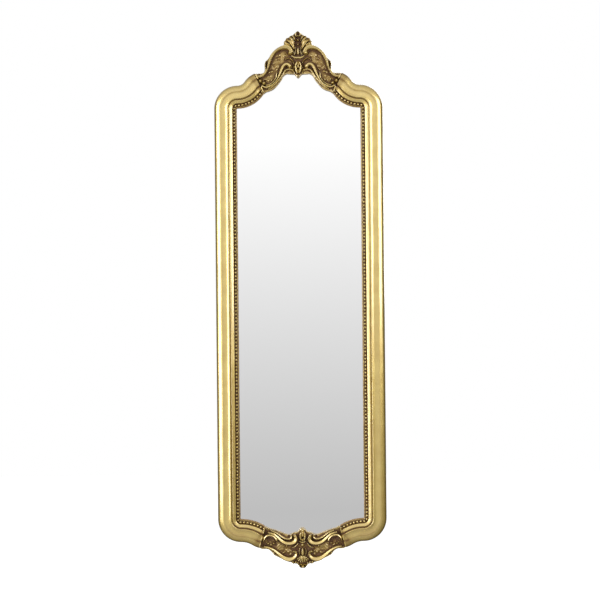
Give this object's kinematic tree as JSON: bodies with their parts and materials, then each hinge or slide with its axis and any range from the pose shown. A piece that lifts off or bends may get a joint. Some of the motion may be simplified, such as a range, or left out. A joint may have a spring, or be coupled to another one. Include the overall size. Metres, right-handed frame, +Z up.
{
  "type": "pier mirror",
  "caption": "Tall narrow wall mirror in a shaped gilt moulding frame with a beaded sight edge, a carved crest and foot, and hinged hanging rings on its back.",
  "frame": {"origin": "midway between the bars of the two hanging rings, on the wall plane", "axes": "+Z up along the frame's length, +Y towards the wall, the glass faces -Y, +X to the right of someone facing the glass"},
  "size_m": [0.408, 0.042, 1.3001],
  "materials": {
    "gilt_wood": "antiqued gold leaf over gesso on wood",
    "carved_ground": "gilt rubbed back to a brown ground in the hollows",
    "mirror_glass": "silvered float glass, polished",
    "backing_board": "hardboard, raw",
    "cork": "cork, raw",
    "beech": "turned beech, raw",
    "brass": "stamped sheet brass",
    "steel": "zinc plated",
    "rubber": "matt moulded rubber"
  },
  "bodies": {
    "mirror_frame": {"stile_left": "gilt_wood", "stile_right": "gilt_wood", "shoulder_left": "gilt_wood", "shoulder_right": "gilt_wood", "lower_shoulder_left": "gilt_wood", "lower_shoulder_right": "gilt_wood", "crest_return_left": "gilt_wood", "crest_return_right": "gilt_wood", "foot_return_left": "gilt_wood", "foot_return_right": "gilt_wood", "crest_block": "carved_ground", "foot_block": "carved_ground", "bead_strip_left": "gilt_wood", "bead_strip_right": "gilt_wood", "upper_bead_strip_left": "gilt_wood", "upper_bead_strip_right": "gilt_wood", "lower_bead_strip_left": "gilt_wood", "lower_bead_strip_right": "gilt_wood", "crest_scroll_left": "gilt_wood", "crest_scroll_right": "gilt_wood", "crest_inner_scroll_left": "gilt_wood", "crest_inner_scroll_right": "gilt_wood", "crest_collar_left": "gilt_wood", "crest_collar_right": "gilt_wood", "crest_leaf_left": "gilt_wood", "crest_leaf_right": "gilt_wood", "crest_shell": "gilt_wood", "crest_bead_drop": "gilt_wood", "crest_pendant": "gilt_wood", "foot_scroll_left": "gilt_wood", "foot_scroll_right": "gilt_wood", "foot_thin_scroll_left": "gilt_wood", "foot_thin_scroll_right": "gilt_wood", "foot_lower_scroll_left": "gilt_wood", "foot_lower_scroll_right": "gilt_wood", "foot_collar_left": "gilt_wood", "foot_collar_right": "gilt_wood", "foot_bud": "gilt_wood", "foot_drop": "gilt_wood", "foot_finial": "gilt_wood", "mirror_glass": "mirror_glass", "glass_blocks": "cork", "backing_board": "backing_board", "stile_dowels": "beech", "crest_dowels": "beech", "foot_dowels": "beech", "hanger_strap_left": "steel", "hanger_strap_right": "steel", "hanger_screws": "steel", "turn_button_screws": "steel", "wall_bumpers": "rubber"},
    "ring_left": {"hanger_ring_left": "steel"},
    "ring_right": {"hanger_ring_right": "steel"},
    "button_left_1": {"turn_button_left_1": "brass"},
    "button_left_2": {"turn_button_left_2": "brass"},
    "button_left_3": {"turn_button_left_3": "brass"},
    "button_right_1": {"turn_button_right_1": "brass"},
    "button_right_2": {"turn_button_right_2": "brass"},
    "button_right_3": {"turn_button_right_3": "brass"}
  },
  "joints": [
    {"name": "ring_left_swing", "type": "hinge", "parent": "mirror_frame", "child": "ring_left", "pos_m": [-0.179, -0.00495, 0], "axis": [-1, 0, 0], "range_deg": [0, 180]},
    {"name": "ring_right_swing", "type": "hinge", "parent": "mirror_frame", "child": "ring_right", "pos_m": [0.179, -0.00495, 0], "axis": [-1, 0, 0], "range_deg": [0, 180]},
    {"name": "button_left_1_turn", "type": "hinge", "parent": "mirror_frame", "child": "button_left_1", "pos_m": [-0.171, -0.007, 0.083], "axis": [0, 1, 0], "continuous": true},
    {"name": "button_left_2_turn", "type": "hinge", "parent": "mirror_frame", "child": "button_left_2", "pos_m": [-0.171, -0.007, -0.3335], "axis": [0, 1, 0], "continuous": true},
    {"name": "button_left_3_turn", "type": "hinge", "parent": "mirror_frame", "child": "button_left_3", "pos_m": [-0.171, -0.007, -0.75], "axis": [0, 1, 0], "continuous": true},
    {"name": "button_right_1_turn", "type": "hinge", "parent": "mirror_frame", "child": "button_right_1", "pos_m": [0.171, -0.007, 0.083], "axis": [0, 1, 0], "continuous": true},
    {"name": "button_right_2_turn", "type": "hinge", "parent": "mirror_frame", "child": "button_right_2", "pos_m": [0.171, -0.007, -0.3335], "axis": [0, 1, 0], "continuous": true},
    {"name": "button_right_3_turn", "type": "hinge", "parent": "mirror_frame", "child": "button_right_3", "pos_m": [0.171, -0.007, -0.75], "axis": [0, 1, 0], "continuous": true}
  ]
}
